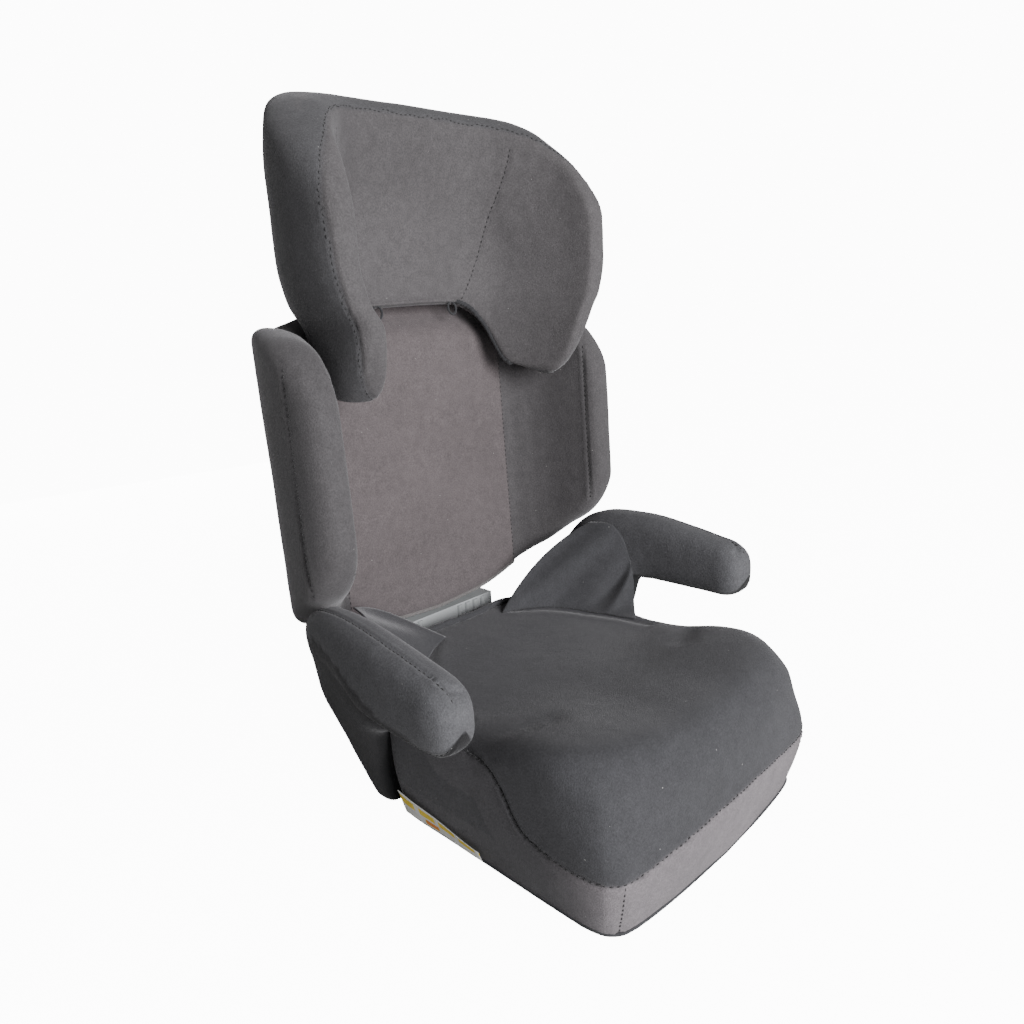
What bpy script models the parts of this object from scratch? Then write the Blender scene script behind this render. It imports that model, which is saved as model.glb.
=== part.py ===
"""High-back booster seat: padded base with armrests, hinged backrest, sliding headrest.

Frame: metres, +Z up, the occupant faces -Y, the object is symmetric about X = 0.
The origin is on the floor under the middle of the seat.
"""
import math

import bmesh
import bpy
import numpy as np
from mathutils import Vector

# Driving dimensions
FABRIC = 0.002            # thickness of a cover panel
GAP = 0.0006              # play between neighbouring pieces
SHELL_WALL = 0.009        # moulded wall of the back and head shells
HINGE_Y = 0.190
HINGE_Z = 0.055
PIN_RADIUS = 0.004
PIN_HOLE_RADIUS = 0.0043
BARREL_RADIUS = 0.011
SLOT_HALF_WIDTH = 0.100   # opening in the rear of the base for the backrest tongue
TONGUE_HALF_WIDTH = 0.088
LEAN = 0.035              # rearward lean of the backrest, as a slope
BACK_FOOT = (0.0, 0.236, 0.170)   # rear face of the back shell at its lower end
PLATE_SHARES = (0.0, 0.07, 0.24, 0.41, 0.59, 0.76, 0.93, 1.0)   # rungs up each padded plate
HEAD_TRAVEL = 0.100       # from the lowest to the highest setting of the headrest
NOTCH_COUNT = 7
NOTCH_PITCH = HEAD_TRAVEL / (NOTCH_COUNT - 1)
NOTCH_X = 0.024
CARRIAGE_LOW = 0.355      # heights along the backrest, from BACK_FOOT
CARRIAGE_HIGH = 0.405
CARRIAGE_HALF_WIDTH = 0.034

# Backrest in plan: front face x, y and rear face x, y at each station from the middle to the lip
BACK_PLAN = [
    (0.000, 0.186, 0.000, 0.236),
    (0.070, 0.186, 0.070, 0.236),
    (0.128, 0.184, 0.140, 0.234),
    (0.149, 0.168, 0.170, 0.222),
    (0.163, 0.142, 0.196, 0.186),
    (0.170, 0.115, 0.207, 0.150),
    (0.175, 0.092, 0.213, 0.112),
    (0.178, 0.075, 0.210, 0.080),
]
# Lowest and highest point of the backrest at each station
BACK_LOW = (0.152, 0.157, 0.172, 0.180, 0.198, 0.222, 0.245, 0.283)
BACK_HIGH = (0.480, 0.480, 0.479, 0.484, 0.494, 0.488, 0.471, 0.443)
BACK_WING_START = 2       # station of the seam between middle and wing
BACK_PAD_END = 6          # foam and shell stop here, inside the lip

# Headrest in plan, and its outline seen from the side
HEAD_PLAN = [
    (0.000, 0.188, 0.000, 0.226),
    (0.065, 0.187, 0.065, 0.226),
    (0.100, 0.174, 0.112, 0.216),
    (0.121, 0.150, 0.150, 0.208),
    (0.137, 0.120, 0.171, 0.178),
    (0.147, 0.095, 0.183, 0.148),
    (0.153, 0.075, 0.188, 0.112),
    (0.157, 0.060, 0.186, 0.069),
]
HEAD_LOW = (0.515, 0.515, 0.513, 0.512, 0.486, 0.426, 0.440, 0.535)
HEAD_HIGH = (0.720, 0.719, 0.717, 0.711, 0.698, 0.676, 0.654, 0.613)
HEAD_TAPER = [(0.42, 0.785), (0.495, 0.838), (0.52, 0.94), (0.56, 1.00), (0.64, 1.00), (0.72, 0.95)]
HEAD_WING_START = 1.6
HEAD_PAD_END = 6

# Base in plan at each height: z, half width, rear half width, front y, rear y, front bow
COVER_LEVELS = [
    (0.005, 0.158, 0.126, -0.198, 0.150, 0.009),
    (0.070, 0.171, 0.128, -0.209, 0.152, 0.012),
    (0.115, 0.172, 0.130, -0.205, 0.154, 0.010),
    (0.140, 0.160, 0.122, -0.188, 0.148, 0.010),
    (0.149, 0.130, 0.100, -0.155, 0.132, 0.008),
]
COVER_TOP = 0.141
SHELL_LEVELS = [
    (0.000, 0.147, 0.120, -0.184, 0.200, 0.009),
    (1.000, 0.156, 0.122, -0.192, 0.204, 0.010),
]
DECK_FRONT_Z = 0.050
DECK_REAR_Z = 0.098
DECK_SLOPE_START = -0.150
DECK_SLOPE_END = -0.020
FOAM_REAR_Y = 0.150
LABEL_FRONT_Y = -0.036
LABEL_REAR_Y = 0.068
LABEL_THICKNESS = 0.0006
POCKET_DEPTH = 0.030
POCKET_COLUMNS = 4
POCKET_ROWS = 5
POCKET_PITCH_X = 0.066
POCKET_PITCH_Y = 0.062
POCKET_SIZE = 0.056

# Armrest: centre, sideways half size, direction and half size across, from the foot to the tip
ARM_PATH = [
    ((0.1470, 0.148, 0.006), 0.0145, (0.0, 1.00, 0.00), 0.050),
    ((0.1575, 0.146, 0.060), 0.0155, (0.0, 1.00, 0.00), 0.050),
    ((0.1710, 0.141, 0.112), 0.0170, (0.0, 0.98, 0.20), 0.046),
    ((0.1870, 0.128, 0.148), 0.0190, (0.0, 0.88, 0.47), 0.046),
    ((0.2000, 0.105, 0.176), 0.0210, (0.0, 0.71, 0.71), 0.045),
    ((0.2090, 0.073, 0.195), 0.0225, (0.0, 0.45, 0.89), 0.043),
    ((0.2145, 0.036, 0.206), 0.0235, (0.0, 0.15, 0.99), 0.041),
    ((0.2180, -0.010, 0.204), 0.0240, (0.0, 0.00, 1.00), 0.038),
    ((0.2195, -0.052, 0.201), 0.0240, (0.0, 0.00, 1.00), 0.035),
    ((0.2205, -0.082, 0.198), 0.0220, (0.0, 0.00, 1.00), 0.029),
    ((0.2205, -0.100, 0.196), 0.0150, (0.0, 0.00, 1.00), 0.018),
]
ARM_SIDES = 14
ARM_FOAM = 0.012


def clear_scene():
    """Remove whatever the scene holds."""
    for item in list(bpy.data.objects):
        bpy.data.objects.remove(item, do_unlink=True)


def material(name, colour, roughness, metallic=0.0):
    """One Principled material."""
    made = bpy.data.materials.new(name)
    made.use_nodes = True
    shader = made.node_tree.nodes["Principled BSDF"]
    shader.inputs["Base Color"].default_value = (*colour, 1.0)
    shader.inputs["Roughness"].default_value = roughness
    shader.inputs["Metallic"].default_value = metallic
    return made


def add_object(name, mesh, colour):
    """Put a mesh in the scene with its own material."""
    item = bpy.data.objects.new(name, mesh)
    bpy.context.scene.collection.objects.link(item)
    mesh.materials.append(material(name + "_material", *colour))
    return item


CHARCOAL_FABRIC = ((0.060, 0.058, 0.062), 0.92)
WARM_FABRIC = ((0.085, 0.074, 0.077), 0.92)
DARK_FABRIC = ((0.024, 0.025, 0.027), 0.92)
FOAM = ((0.62, 0.60, 0.52), 0.95)
BLACK_PLASTIC = ((0.018, 0.018, 0.019), 0.45)
GREY_PLASTIC = ((0.12, 0.13, 0.135), 0.28)
STEEL = ((0.55, 0.55, 0.56), 0.30, 1.0)
LABEL = ((0.82, 0.80, 0.70), 0.55)


def loft(name, rings, colour, low_tip=None, high_tip=None, folded=False, lining=0):
    """Closed solid through a list of rings that all have the same number of points.

    On a folded ring the second half runs back beside the first. Its faces are split the same
    way and its ends are closed rung by rung, so that neighbouring layers stay parallel.
    The first rings may be the lining of a hollow shape, in reverse order; lining counts them.
    """
    shape = bmesh.new()
    loops = [[shape.verts.new(point) for point in ring] for ring in rings]
    count = len(loops[0])
    for level, (lower, upper) in enumerate(zip(loops, loops[1:])):
        for i in range(count):
            a, b, c, d = lower[i], lower[(i + 1) % count], upper[(i + 1) % count], upper[i]
            if level < lining - 1 or (folded and i >= count // 2):
                a, b, c, d = b, c, d, a
            shape.faces.new((a, b, c))
            shape.faces.new((a, c, d))
    for loop, tip in ((loops[0], low_tip), (loops[-1], high_tip)):
        if folded:
            for i in range(count // 2 - 1):
                shape.faces.new((loop[i], loop[i + 1], loop[count - 2 - i], loop[count - 1 - i]))
            continue
        if tip is None:
            shape.faces.new(loop)
            continue
        centre = shape.verts.new(tip)
        for i in range(count):
            shape.faces.new((loop[i], loop[(i + 1) % count], centre))
    bmesh.ops.triangulate(shape, faces=[face for face in shape.faces if len(face.verts) > 4])
    bmesh.ops.recalc_face_normals(shape, faces=shape.faces)
    mesh = bpy.data.meshes.new(name)
    shape.to_mesh(mesh)
    shape.free()
    return add_object(name, mesh, colour)


def hull(name, points, colour):
    """Convex solid around a few points."""
    shape = bmesh.new()
    for point in points:
        shape.verts.new(point)
    result = bmesh.ops.convex_hull(shape, input=shape.verts)
    spare = [item for item in result["geom_interior"] if isinstance(item, bmesh.types.BMVert)]
    bmesh.ops.delete(shape, geom=spare, context="VERTS")
    bmesh.ops.recalc_face_normals(shape, faces=shape.faces)
    mesh = bpy.data.meshes.new(name)
    shape.to_mesh(mesh)
    shape.free()
    return add_object(name, mesh, colour)


def box(name, low, high, colour):
    """Upright box between two corners."""
    points = [(x, y, z) for x in (low[0], high[0]) for y in (low[1], high[1])
              for z in (low[2], high[2])]
    return hull(name, points, colour)


def cylinder(name, start, end, radius, colour, sides=24):
    """Round bar between two points."""
    start, end = Vector(start), Vector(end)
    along = (end - start).normalized()
    across = along.orthogonal().normalized()
    other = along.cross(across)
    angles = [2.0 * math.pi * i / sides for i in range(sides)]
    rings = [[centre + radius * (math.cos(a) * across + math.sin(a) * other) for a in angles]
             for centre in (start, end)]
    return loft(name, rings, colour)


def combine(target, tools, operation):
    """Join or cut the target with other solids, which are then removed."""
    for tool in tools:
        modifier = target.modifiers.new(operation.lower(), "BOOLEAN")
        modifier.operation = operation
        modifier.solver = "EXACT"
        modifier.object = tool
    graph = bpy.context.evaluated_depsgraph_get()
    mesh = bpy.data.meshes.new_from_object(target.evaluated_get(graph))
    target.modifiers.clear()
    target.data = mesh
    for tool in tools:
        bpy.data.objects.remove(tool, do_unlink=True)
    return target


def read_table(table, value):
    """Straight-line reading of a two-column table."""
    return float(np.interp(value, [row[0] for row in table], [row[1] for row in table]))


# ---------------------------------------------------------------- backrest and headrest plates

def plan_pair(plan, station):
    """Front and rear points in plan at a station of a padded plate."""
    side = -1.0 if station < 0 else 1.0
    steps = range(len(plan))
    fx, fy, rx, ry = [float(np.interp(abs(station), steps, values)) for values in zip(*plan)]
    return Vector((fx * side, fy)), Vector((rx * side, ry))


def height(lows, highs, station, share):
    """Height at a share of the way up a plate, at one station."""
    steps = range(len(lows))
    low, high = (float(np.interp(abs(station), steps, values)) for values in (lows, highs))
    return low + share * (high - low)


def back_point(plan_xy, station, share):
    """Place a plan point of the backrest at a share of the plate's height there."""
    z = height(BACK_LOW, BACK_HIGH, station, share)
    return Vector((plan_xy.x, plan_xy.y + LEAN * (z - BACK_FOOT[2]), z))


def head_point(plan_xy, station, share):
    """Place a plan point of the headrest at a share of the plate's height there."""
    z = height(HEAD_LOW, HEAD_HIGH, station, share)
    return Vector((plan_xy.x * read_table(HEAD_TAPER, z), plan_xy.y, z))


def column(plan, place, station, side, shares):
    """Points up the plate at one station; side is ("front" or "rear", depth below that face)."""
    face, depth = side
    front_xy, rear_xy = plan_pair(plan, station)
    points = []
    for share in shares:
        front, rear = place(front_xy, station, share), place(rear_xy, station, share)
        through = (rear - front).normalized()
        points.append(front + depth * through if face == "front" else rear - depth * through)
    return points


def plate(name, plan, place, span, front, rear, colour, shares=PLATE_SHARES):
    """Layer of a padded plate between two stations; front and rear say its two faces."""
    first, last = span
    stations = {first, last}
    stations |= {s for s in range(-len(plan), len(plan)) if first < s < last}
    rings = []
    for station in sorted(stations):
        near = column(plan, place, station, front, shares)
        far = column(plan, place, station, rear, shares)
        rings.append(near + far[::-1])
    return loft(name, rings, colour, folded=True)


def tilted(x, out, up):
    """Point in the backrest's own frame: out of its rear face, and up along it."""
    slope = math.atan(LEAN)
    along = Vector((0.0, math.sin(slope), math.cos(slope)))
    outward = Vector((0.0, math.cos(slope), -math.sin(slope)))
    return Vector(BACK_FOOT) + Vector((x, 0.0, 0.0)) + out * outward + up * along


def tilted_box(name, low, high, colour):
    """Box in the backrest's own frame."""
    points = [tilted(x, out, up) for x in (low[0], high[0]) for out in (low[1], high[1])
              for up in (low[2], high[2])]
    return hull(name, points, colour)


def tilted_bar(name, x, up, low, high, radius, colour, sides=16):
    """Round bar that runs straight out of the backrest's rear face."""
    return cylinder(name, tilted(x, low, up), tilted(x, high, up), radius, colour, sides)


def tongue_parts():
    """Plate, shelf, barrel and ribs that join the back shell to its hinge."""
    half = TONGUE_HALF_WIDTH
    parts = [
        box("tongue_plate", (-half, 0.190, 0.052), (half, 0.204, 0.1485), GREY_PLASTIC),
        box("tongue_shelf", (-half, 0.1901, 0.136), (half, 0.2329, 0.1484), GREY_PLASTIC),
        box("tongue_riser", (-half, 0.2255, 0.1365), (half, 0.2328, 0.200), GREY_PLASTIC),
        cylinder("tongue_barrel", (-half, HINGE_Y, HINGE_Z), (half, HINGE_Y, HINGE_Z),
                 BARREL_RADIUS, GREY_PLASTIC),
    ]
    for side in (-1, 1):
        for step in range(4):
            x = side * (0.032 + 0.013 * step)
            parts.append(cylinder("tongue_rib", (x, 0.190, 0.075), (x, 0.190, 0.147),
                                  0.0036, GREY_PLASTIC, 12))
    return parts


def back_shell():
    """One moulding: middle, wings, spine for the headrest and tongue for the hinge."""
    shell = plate("back_shell", BACK_PLAN, back_point, (-BACK_PAD_END, BACK_PAD_END),
                  ("rear", SHELL_WALL + 0.0027), ("rear", 0.0027), GREY_PLASTIC,
                  PLATE_SHARES[1:-1])
    spine = tilted_box("spine", (-0.078, -0.0109, 0.240), (0.078, -0.0031, 0.516), GREY_PLASTIC)
    combine(shell, tongue_parts() + [spine], "UNION")
    cutters = [
        cylinder("pin_hole", (-0.2, HINGE_Y, HINGE_Z), (0.2, HINGE_Y, HINGE_Z),
                 PIN_HOLE_RADIUS, GREY_PLASTIC),
        box("tongue_window", (-0.018, 0.170, 0.118), (0.018, 0.215, 0.132), GREY_PLASTIC),
        tilted_box("spine_slot", (-0.0125, -0.02, 0.349), (0.0125, 0.02, 0.506), GREY_PLASTIC),
    ]
    for side in (-1, 1):
        for step in range(NOTCH_COUNT):
            up = notch_height(step)
            cutters.append(tilted_bar("notch", side * NOTCH_X, up, -0.02, 0.02, 0.0036,
                                      GREY_PLASTIC, 12))
    return combine(shell, cutters, "DIFFERENCE")


def notch_height(step):
    """Height of a locking notch along the backrest; step 0 is the lowest setting."""
    return 0.368 + NOTCH_PITCH * step


def backrest():
    """Shell, foam and covers of the backrest."""
    back_shell()
    pad = ("front", FABRIC + GAP)
    wall = ("rear", SHELL_WALL + 0.0027 + GAP)
    seam = BACK_WING_START
    middle = (-seam + 0.01, seam - 0.01)
    plate("back_foam", BACK_PLAN, back_point, middle, pad, wall, FOAM)
    plate("back_cover", BACK_PLAN, back_point, middle, ("front", 0.0), ("front", FABRIC),
          WARM_FABRIC)
    for side, word in ((-1, "left"), (1, "right")):
        inner, lip, end = [side * s for s in (seam + 0.01, len(BACK_PLAN) - 1, BACK_PAD_END)]
        padded, covered = sorted((inner, end)), sorted((inner, lip))
        plate("wing_foam_" + word, BACK_PLAN, back_point, padded, pad, wall, FOAM)
        plate("wing_cover_" + word, BACK_PLAN, back_point, covered,
              ("front", 0.0), ("front", FABRIC), CHARCOAL_FABRIC)
        plate("wing_side_cover_" + word, BACK_PLAN, back_point, covered,
              ("rear", FABRIC), ("rear", 0.0), DARK_FABRIC)


# ---------------------------------------------------------------- headrest

def head_carriage():
    """Slider that holds the headrest on the spine."""
    wide = CARRIAGE_HALF_WIDTH
    plate_low, plate_high = CARRIAGE_LOW, CARRIAGE_HIGH
    body = tilted_box("head_carriage", (-wide, -0.0024, plate_low), (wide, 0.0055, plate_high),
                      BLACK_PLASTIC)
    parts = [
        tilted_box("carriage_neck", (-0.0115, -0.0180, plate_low + 0.002),
                   (0.0115, 0.0, plate_high - 0.002), BLACK_PLASTIC),
        tilted_box("carriage_front", (-wide, -0.0245, plate_low + 0.001),
                   (wide, -0.0115, plate_high - 0.001), BLACK_PLASTIC),
    ]
    combine(body, parts, "UNION")
    holes = []
    for side in (-1, 1):
        holes.append(tilted_bar("bolt_hole", side * NOTCH_X, notch_height(0), -0.005, 0.02,
                                0.0034, BLACK_PLASTIC))
        holes.append(tilted_bar("screw_hole", side * 0.021, 0.394, 0.001, 0.02, 0.0022,
                                BLACK_PLASTIC))
    return combine(body, holes, "DIFFERENCE")


def carriage_screw(word, x):
    """Pan-head screw in the rear of the carriage."""
    head = tilted_bar("carriage_screw_" + word, x, 0.394, 0.0058, 0.0078, 0.0042, STEEL)
    shank = tilted_bar("shank", x, 0.394, 0.0014, 0.0070, 0.0019, STEEL)
    return combine(head, [shank], "UNION")


def release_handle():
    """Pull handle behind the top of the headrest, with two legs that work the lock."""
    plate_body = tilted_box("release_handle", (-0.026, -0.0022, 0.437), (0.026, 0.0030, 0.530),
                            BLACK_PLASTIC)
    parts = [tilted_box("grip", (-0.034, -0.0021, 0.518), (0.034, 0.0135, 0.536), BLACK_PLASTIC)]
    for side in (-1, 1):
        low, high = sorted((side * 0.0200, side * 0.0258))
        parts.append(tilted_box("leg_link", (low, 0.0020, 0.408), (high, 0.0062, 0.440),
                                BLACK_PLASTIC))
    return combine(plate_body, parts, "UNION")


def lock_bolts():
    """Two bolts on a yoke that hold the carriage at a notch."""
    yoke = tilted_box("lock_yoke", (-0.030, 0.0085, 0.3615), (0.030, 0.0125, 0.3745), STEEL)
    bars = [tilted_bar("bolt", side * NOTCH_X, notch_height(0), -0.0085, 0.0100, 0.0030, STEEL)
            for side in (-1, 1)]
    return combine(yoke, bars, "UNION")


def handle_spring():
    """Tension spring between the carriage and the handle."""
    turns, steps, sides = 5, 12, 6
    start, end = tilted(0.0, 0.0004, CARRIAGE_HIGH + 0.001), tilted(0.0, 0.0004, 0.436)
    along = (end - start).normalized()
    across = Vector((1.0, 0.0, 0.0))
    other = along.cross(across)
    coil_radius, wire = 0.0020, 0.0005
    rings = []
    total = turns * steps
    for i in range(total + 1):
        angle = 2.0 * math.pi * i / steps
        outward = math.cos(angle) * across + math.sin(angle) * other
        share = 0.03 + 0.94 * i / total
        centre = start.lerp(end, share) + coil_radius * outward
        rings.append([centre + wire * (math.cos(b) * outward + math.sin(b) * along)
                      for b in (2.0 * math.pi * k / sides for k in range(sides))])
    return loft("handle_spring", rings, STEEL)


def belt_guide(word, side):
    """Open hook that leads the shoulder belt past the headrest."""
    low, high = sorted((side * 0.081, side * 0.130))
    body = box("belt_guide_" + word, (low, 0.2262, 0.522), (high, 0.2322, 0.566),
               BLACK_PLASTIC)
    low, high = sorted((side * 0.091, side * 0.144))
    slot = box("slot", (low, 0.21, 0.538), (high, 0.25, 0.550), BLACK_PLASTIC)
    low, high = sorted((side * 0.1225, side * 0.1302))
    lip = box("lip", (low, 0.2263, 0.5365), (high, 0.2321, 0.5430), BLACK_PLASTIC)
    combine(body, [slot], "DIFFERENCE")
    return combine(body, [lip], "UNION")


def headrest():
    """Shell, foam, covers, carriage and lock of the headrest."""
    plate("head_shell", HEAD_PLAN, head_point, (-HEAD_PAD_END, HEAD_PAD_END),
          ("rear", SHELL_WALL + 0.0027), ("rear", 0.0027), BLACK_PLASTIC, PLATE_SHARES[1:-1])
    pad = ("front", FABRIC + GAP)
    wall = ("rear", SHELL_WALL + 0.0027 + GAP)
    seam = HEAD_WING_START
    middle = (-seam + 0.01, seam - 0.01)
    plate("head_foam_middle", HEAD_PLAN, head_point, middle, pad, wall, FOAM)
    plate("head_cover_middle", HEAD_PLAN, head_point, middle, ("front", 0.0),
          ("front", FABRIC), WARM_FABRIC)
    for side, word in ((-1, "left"), (1, "right")):
        inner, lip, end = [side * s for s in (seam + 0.01, len(HEAD_PLAN) - 1, HEAD_PAD_END)]
        padded, covered = sorted((inner, end)), sorted((inner, lip))
        plate("head_foam_" + word, HEAD_PLAN, head_point, padded, pad, wall, FOAM)
        plate("head_cover_" + word, HEAD_PLAN, head_point, covered,
              ("front", 0.0), ("front", FABRIC), CHARCOAL_FABRIC)
        plate("head_side_cover_" + word, HEAD_PLAN, head_point, covered,
              ("rear", FABRIC), ("rear", 0.0), DARK_FABRIC)
        belt_guide(word, side)
        carriage_screw(word, side * 0.021)
    head_carriage()
    release_handle()
    lock_bolts()
    handle_spring()


# ---------------------------------------------------------------- base

def base_ring(level, inset=0.0, height=None):
    """Outline of the base at one level, going round from the front centre."""
    z, half, rear_half, front, rear, bow = level
    half, rear_half = half - inset, rear_half - inset
    front, rear = front + inset, rear - inset
    right = [
        (0.0, front - bow),
        (0.45 * half, front - 0.75 * bow),
        (0.80 * half, front - 0.20 * bow),
        (0.94 * half, front + 0.006),
        (0.995 * half, front + 0.026),
        (half, front + 0.080),
        (half, 0.072),
        (0.5 * (half + rear_half), 0.084),
        (rear_half, 0.094),
        (rear_half, rear - 0.014),
        (rear_half - 0.010, rear),
        (0.4 * rear_half, rear),
    ]
    left = [(-x, y) for x, y in reversed(right[1:])]
    height = height or (lambda y: z)
    return [Vector((x, y, height(y))) for x, y in right + [(0.0, rear)] + left]


def deck_height(y):
    """Height of the base shell's deck: level at the rear, lower at the front."""
    share = (y - DECK_SLOPE_START) / (DECK_SLOPE_END - DECK_SLOPE_START)
    return DECK_FRONT_Z + (DECK_REAR_Z - DECK_FRONT_Z) * min(1.0, max(0.0, share))


def base_shell():
    """Moulded pan with a ribbed underside and a rear opening for the backrest."""
    rings = [base_ring(SHELL_LEVELS[0]), base_ring(SHELL_LEVELS[1], height=deck_height)]
    shell = loft("base_shell", rings, BLACK_PLASTIC, high_tip=(0.0, 0.0, deck_height(0.0)))
    cutters = [
        box("rear_slot", (-SLOT_HALF_WIDTH, 0.172, 0.025), (SLOT_HALF_WIDTH, 0.30, 0.30),
            BLACK_PLASTIC),
        cylinder("pin_hole", (-0.112, HINGE_Y, HINGE_Z), (0.112, HINGE_Y, HINGE_Z),
                 PIN_HOLE_RADIUS, BLACK_PLASTIC),
    ]
    for column in range(POCKET_COLUMNS):
        for row in range(POCKET_ROWS):
            x = (column - 0.5 * (POCKET_COLUMNS - 1)) * POCKET_PITCH_X
            y = (row - 0.5 * (POCKET_ROWS - 1)) * POCKET_PITCH_Y - 0.012
            half = 0.5 * POCKET_SIZE
            cutters.append(box("pocket", (x - half, y - half, -0.01),
                               (x + half, y + half, POCKET_DEPTH), BLACK_PLASTIC))
    return combine(shell, cutters, "DIFFERENCE")


def seat_foam():
    """Foam slab between the deck of the shell and the cover."""
    inset = FABRIC + GAP
    z, half, rear_half, front, _, bow = SHELL_LEVELS[1]
    foot = (z, half, rear_half, front, FOAM_REAR_Y, bow)
    rings = [base_ring(foot, 0.0, lambda y: deck_height(y) + GAP)]
    rings += [base_ring((z - (inset if z > 0.13 else 0.0), *rest), inset)
              for z, *rest in COVER_LEVELS[2:]]
    return loft("seat_foam", rings, FOAM, low_tip=(0.0, 0.0, deck_height(0.0) + GAP),
                high_tip=(0.0, -0.02, COVER_TOP - inset))


def seat_cover():
    """Fitted cover: top panel with front and side panels, open underneath."""
    outer = [base_ring(level) for level in COVER_LEVELS]
    inner = [base_ring((z - (FABRIC if z > 0.13 else 0.0), *rest), FABRIC)
             for z, *rest in COVER_LEVELS]
    cover = loft("seat_cover", inner[::-1] + outer, CHARCOAL_FABRIC,
                 low_tip=(0.0, -0.02, COVER_TOP - FABRIC), high_tip=(0.0, -0.02, COVER_TOP),
                 lining=len(inner))
    rear_opening = box("rear_opening", (-0.2, 0.120, -0.01), (0.2, 0.30, DECK_REAR_Z + 0.002),
                       DARK_FABRIC)
    return combine(cover, [rear_opening], "DIFFERENCE")


def arm_ring(station, side, inset):
    """Rounded section of the armrest, square to its path."""
    centre, half_x, across, half_across = station
    u = Vector((side, 0.0, 0.0)) * (half_x - inset)
    v = Vector(across).normalized() * (half_across - inset)
    centre = Vector((centre[0] * side, centre[1], centre[2]))
    ring = []
    for i in range(ARM_SIDES):
        angle = 2.0 * math.pi * (i + 0.5) / ARM_SIDES
        cos, sin = math.cos(angle), math.sin(angle)
        square = (abs(cos) ** 3.0 + abs(sin) ** 3.0) ** (-1.0 / 3.0)
        ring.append(centre + square * (cos * u + sin * v))
    return ring


def arm_tip(side, back):
    """Point at the front end of the armrest."""
    return Vector((side * 0.2205, -0.1065 + back, 0.195))


def armrest(word, side):
    """Moulded frame, foam sleeve and cover of one armrest."""
    foam_inset = FABRIC + GAP
    frame_inset = foam_inset + ARM_FOAM
    outer = [arm_ring(station, side, 0.0) for station in ARM_PATH]
    lining = [arm_ring(station, side, FABRIC) for station in ARM_PATH]
    loft("armrest_cover_" + word, lining[::-1] + outer, DARK_FABRIC,
         low_tip=arm_tip(side, FABRIC + 0.0008), high_tip=arm_tip(side, 0.0),
         lining=len(lining))
    frame = [arm_ring(station, side, min(frame_inset, 0.55 * station[1]))
             for station in ARM_PATH[:-1]]
    loft("armrest_frame_" + word, frame, BLACK_PLASTIC)
    foam = [arm_ring(station, side, foam_inset) for station in ARM_PATH[4:]]
    bore = [arm_ring(station, side, min(frame_inset, 0.55 * station[1]) - GAP)
            for station in ARM_PATH[4:-1]]
    loft("armrest_foam_" + word, bore[::-1] + foam, FOAM,
         low_tip=arm_tip(side, 0.0125), high_tip=arm_tip(side, foam_inset + 0.0012),
         lining=len(bore))


def gusset(word, side):
    """Taut side panel from the armrest down to the seat."""
    points = [(0.138, 0.010, 0.1505), (0.050, 0.122, 0.1505), (0.160, 0.020, 0.1515),
              (0.128, 0.110, 0.1505), (0.165, 0.026, 0.205), (0.164, 0.082, 0.228),
              (0.160, 0.092, 0.190)]
    return hull("side_gusset_" + word, [(side * x, y, z) for x, y, z in points],
                CHARCOAL_FABRIC)


def side_label():
    """Blank care label on the lower left side of the cover."""
    corners = [(LABEL_REAR_Y, 0.0400), (LABEL_FRONT_Y, 0.0200), (LABEL_FRONT_Y - 0.004, 0.0075),
               (LABEL_REAR_Y - 0.006, 0.0075)]
    (z_low, half_low, *_), (z_high, half_high, *_) = COVER_LEVELS[:2]
    points = []
    for y, z in corners:
        wall = half_low + (half_high - half_low) * (z - z_low) / (z_high - z_low)
        points += [(-wall - GAP, y, z), (-wall - GAP - LABEL_THICKNESS, y, z)]
    return hull("side_label", points, LABEL)


def base():
    """Everything that stays on the floor."""
    base_shell()
    seat_foam()
    seat_cover()
    cylinder("hinge_pin", (-0.111, HINGE_Y, HINGE_Z), (0.111, HINGE_Y, HINGE_Z), PIN_RADIUS,
             STEEL)
    for side, word in ((-1, "left"), (1, "right")):
        armrest(word, side)
        gusset(word, side)
    side_label()


clear_scene()
base()
backrest()
headrest()
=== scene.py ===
"""Looks of the high-back booster seat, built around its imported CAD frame.

Lengths are metres. The occupant faces -Y and the seat is symmetric about X = 0.
"""
import math

import bmesh
import bpy
import numpy as np
from mathutils import Matrix, Vector, noise
from mathutils.bvhtree import BVHTree
from mathutils.kdtree import KDTree


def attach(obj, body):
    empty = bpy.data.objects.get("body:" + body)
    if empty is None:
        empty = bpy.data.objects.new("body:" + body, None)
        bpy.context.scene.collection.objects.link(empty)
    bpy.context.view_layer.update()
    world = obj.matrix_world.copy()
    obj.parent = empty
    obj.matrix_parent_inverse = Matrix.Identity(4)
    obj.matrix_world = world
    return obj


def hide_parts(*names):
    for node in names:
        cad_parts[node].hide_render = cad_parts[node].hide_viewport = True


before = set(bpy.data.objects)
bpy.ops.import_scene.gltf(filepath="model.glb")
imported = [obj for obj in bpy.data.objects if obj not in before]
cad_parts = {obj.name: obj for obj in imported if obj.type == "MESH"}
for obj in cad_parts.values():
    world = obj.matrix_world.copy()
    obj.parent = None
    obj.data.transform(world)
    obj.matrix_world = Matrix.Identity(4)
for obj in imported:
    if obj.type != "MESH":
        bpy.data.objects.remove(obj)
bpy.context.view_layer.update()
SCENE = bpy.context.scene
SIDES = ((-1, "left"), (1, "right"))
CLOTH_FRAMES = 20
SEAM_PITCH = 0.003        # between the points of a seam's line
STITCH_LENGTH = 0.0036
STITCH_GAP = 0.0022
STITCH_RADIUS = 0.0006

# Shared with the CAD design
LEAN = 0.035
BACK_FOOT = (0.0, 0.236, 0.170)
SHELL_DEPTH = 0.0123      # from the rear face of a plate to the front of its moulded wall

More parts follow.
